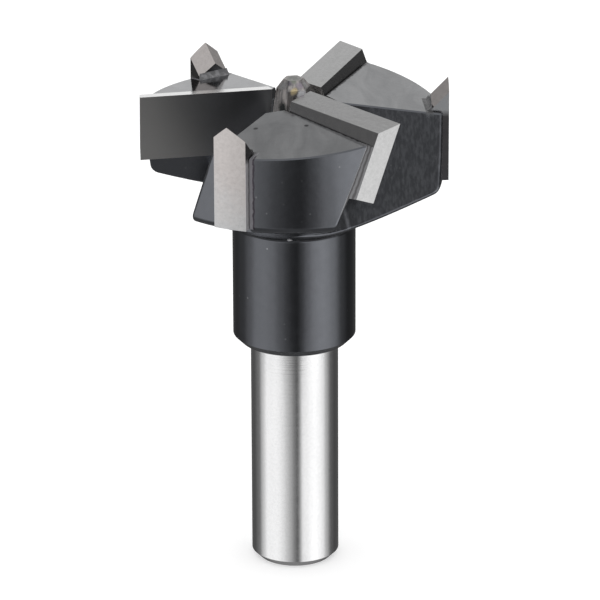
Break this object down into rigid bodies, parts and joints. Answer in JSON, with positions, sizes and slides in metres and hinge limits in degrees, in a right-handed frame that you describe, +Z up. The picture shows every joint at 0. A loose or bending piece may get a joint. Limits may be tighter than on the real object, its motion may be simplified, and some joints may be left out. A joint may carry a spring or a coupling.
{
  "type": "forstner bit",
  "caption": "Carbide-tipped boring bit with a winged head, scoring spurs at the rim and a blunt centre on a plain round shank, for flat-bottomed cup holes in wood panels.",
  "frame": {"origin": "centre of the shank's end face, on the bit's axis, where the upright bit stands", "axes": "+Z up the bit's axis towards the cutting end, -Y towards the viewer of the picture"},
  "size_m": [0.0349, 0.0334, 0.0579],
  "materials": {
    "body": "black-finished steel, bright ground shank",
    "cutter": "ground carbide",
    "spur": "ground carbide",
    "centre_point": "ground carbide, dark from brazing"
  },
  "bodies": {
    "root": {"body": "body", "centre_point": "centre_point", "cutter_1": "cutter", "cutter_2": "cutter", "cutter_3": "cutter", "spur_1": "spur", "spur_2": "spur", "spur_3": "spur"}
  },
  "joints": []
}
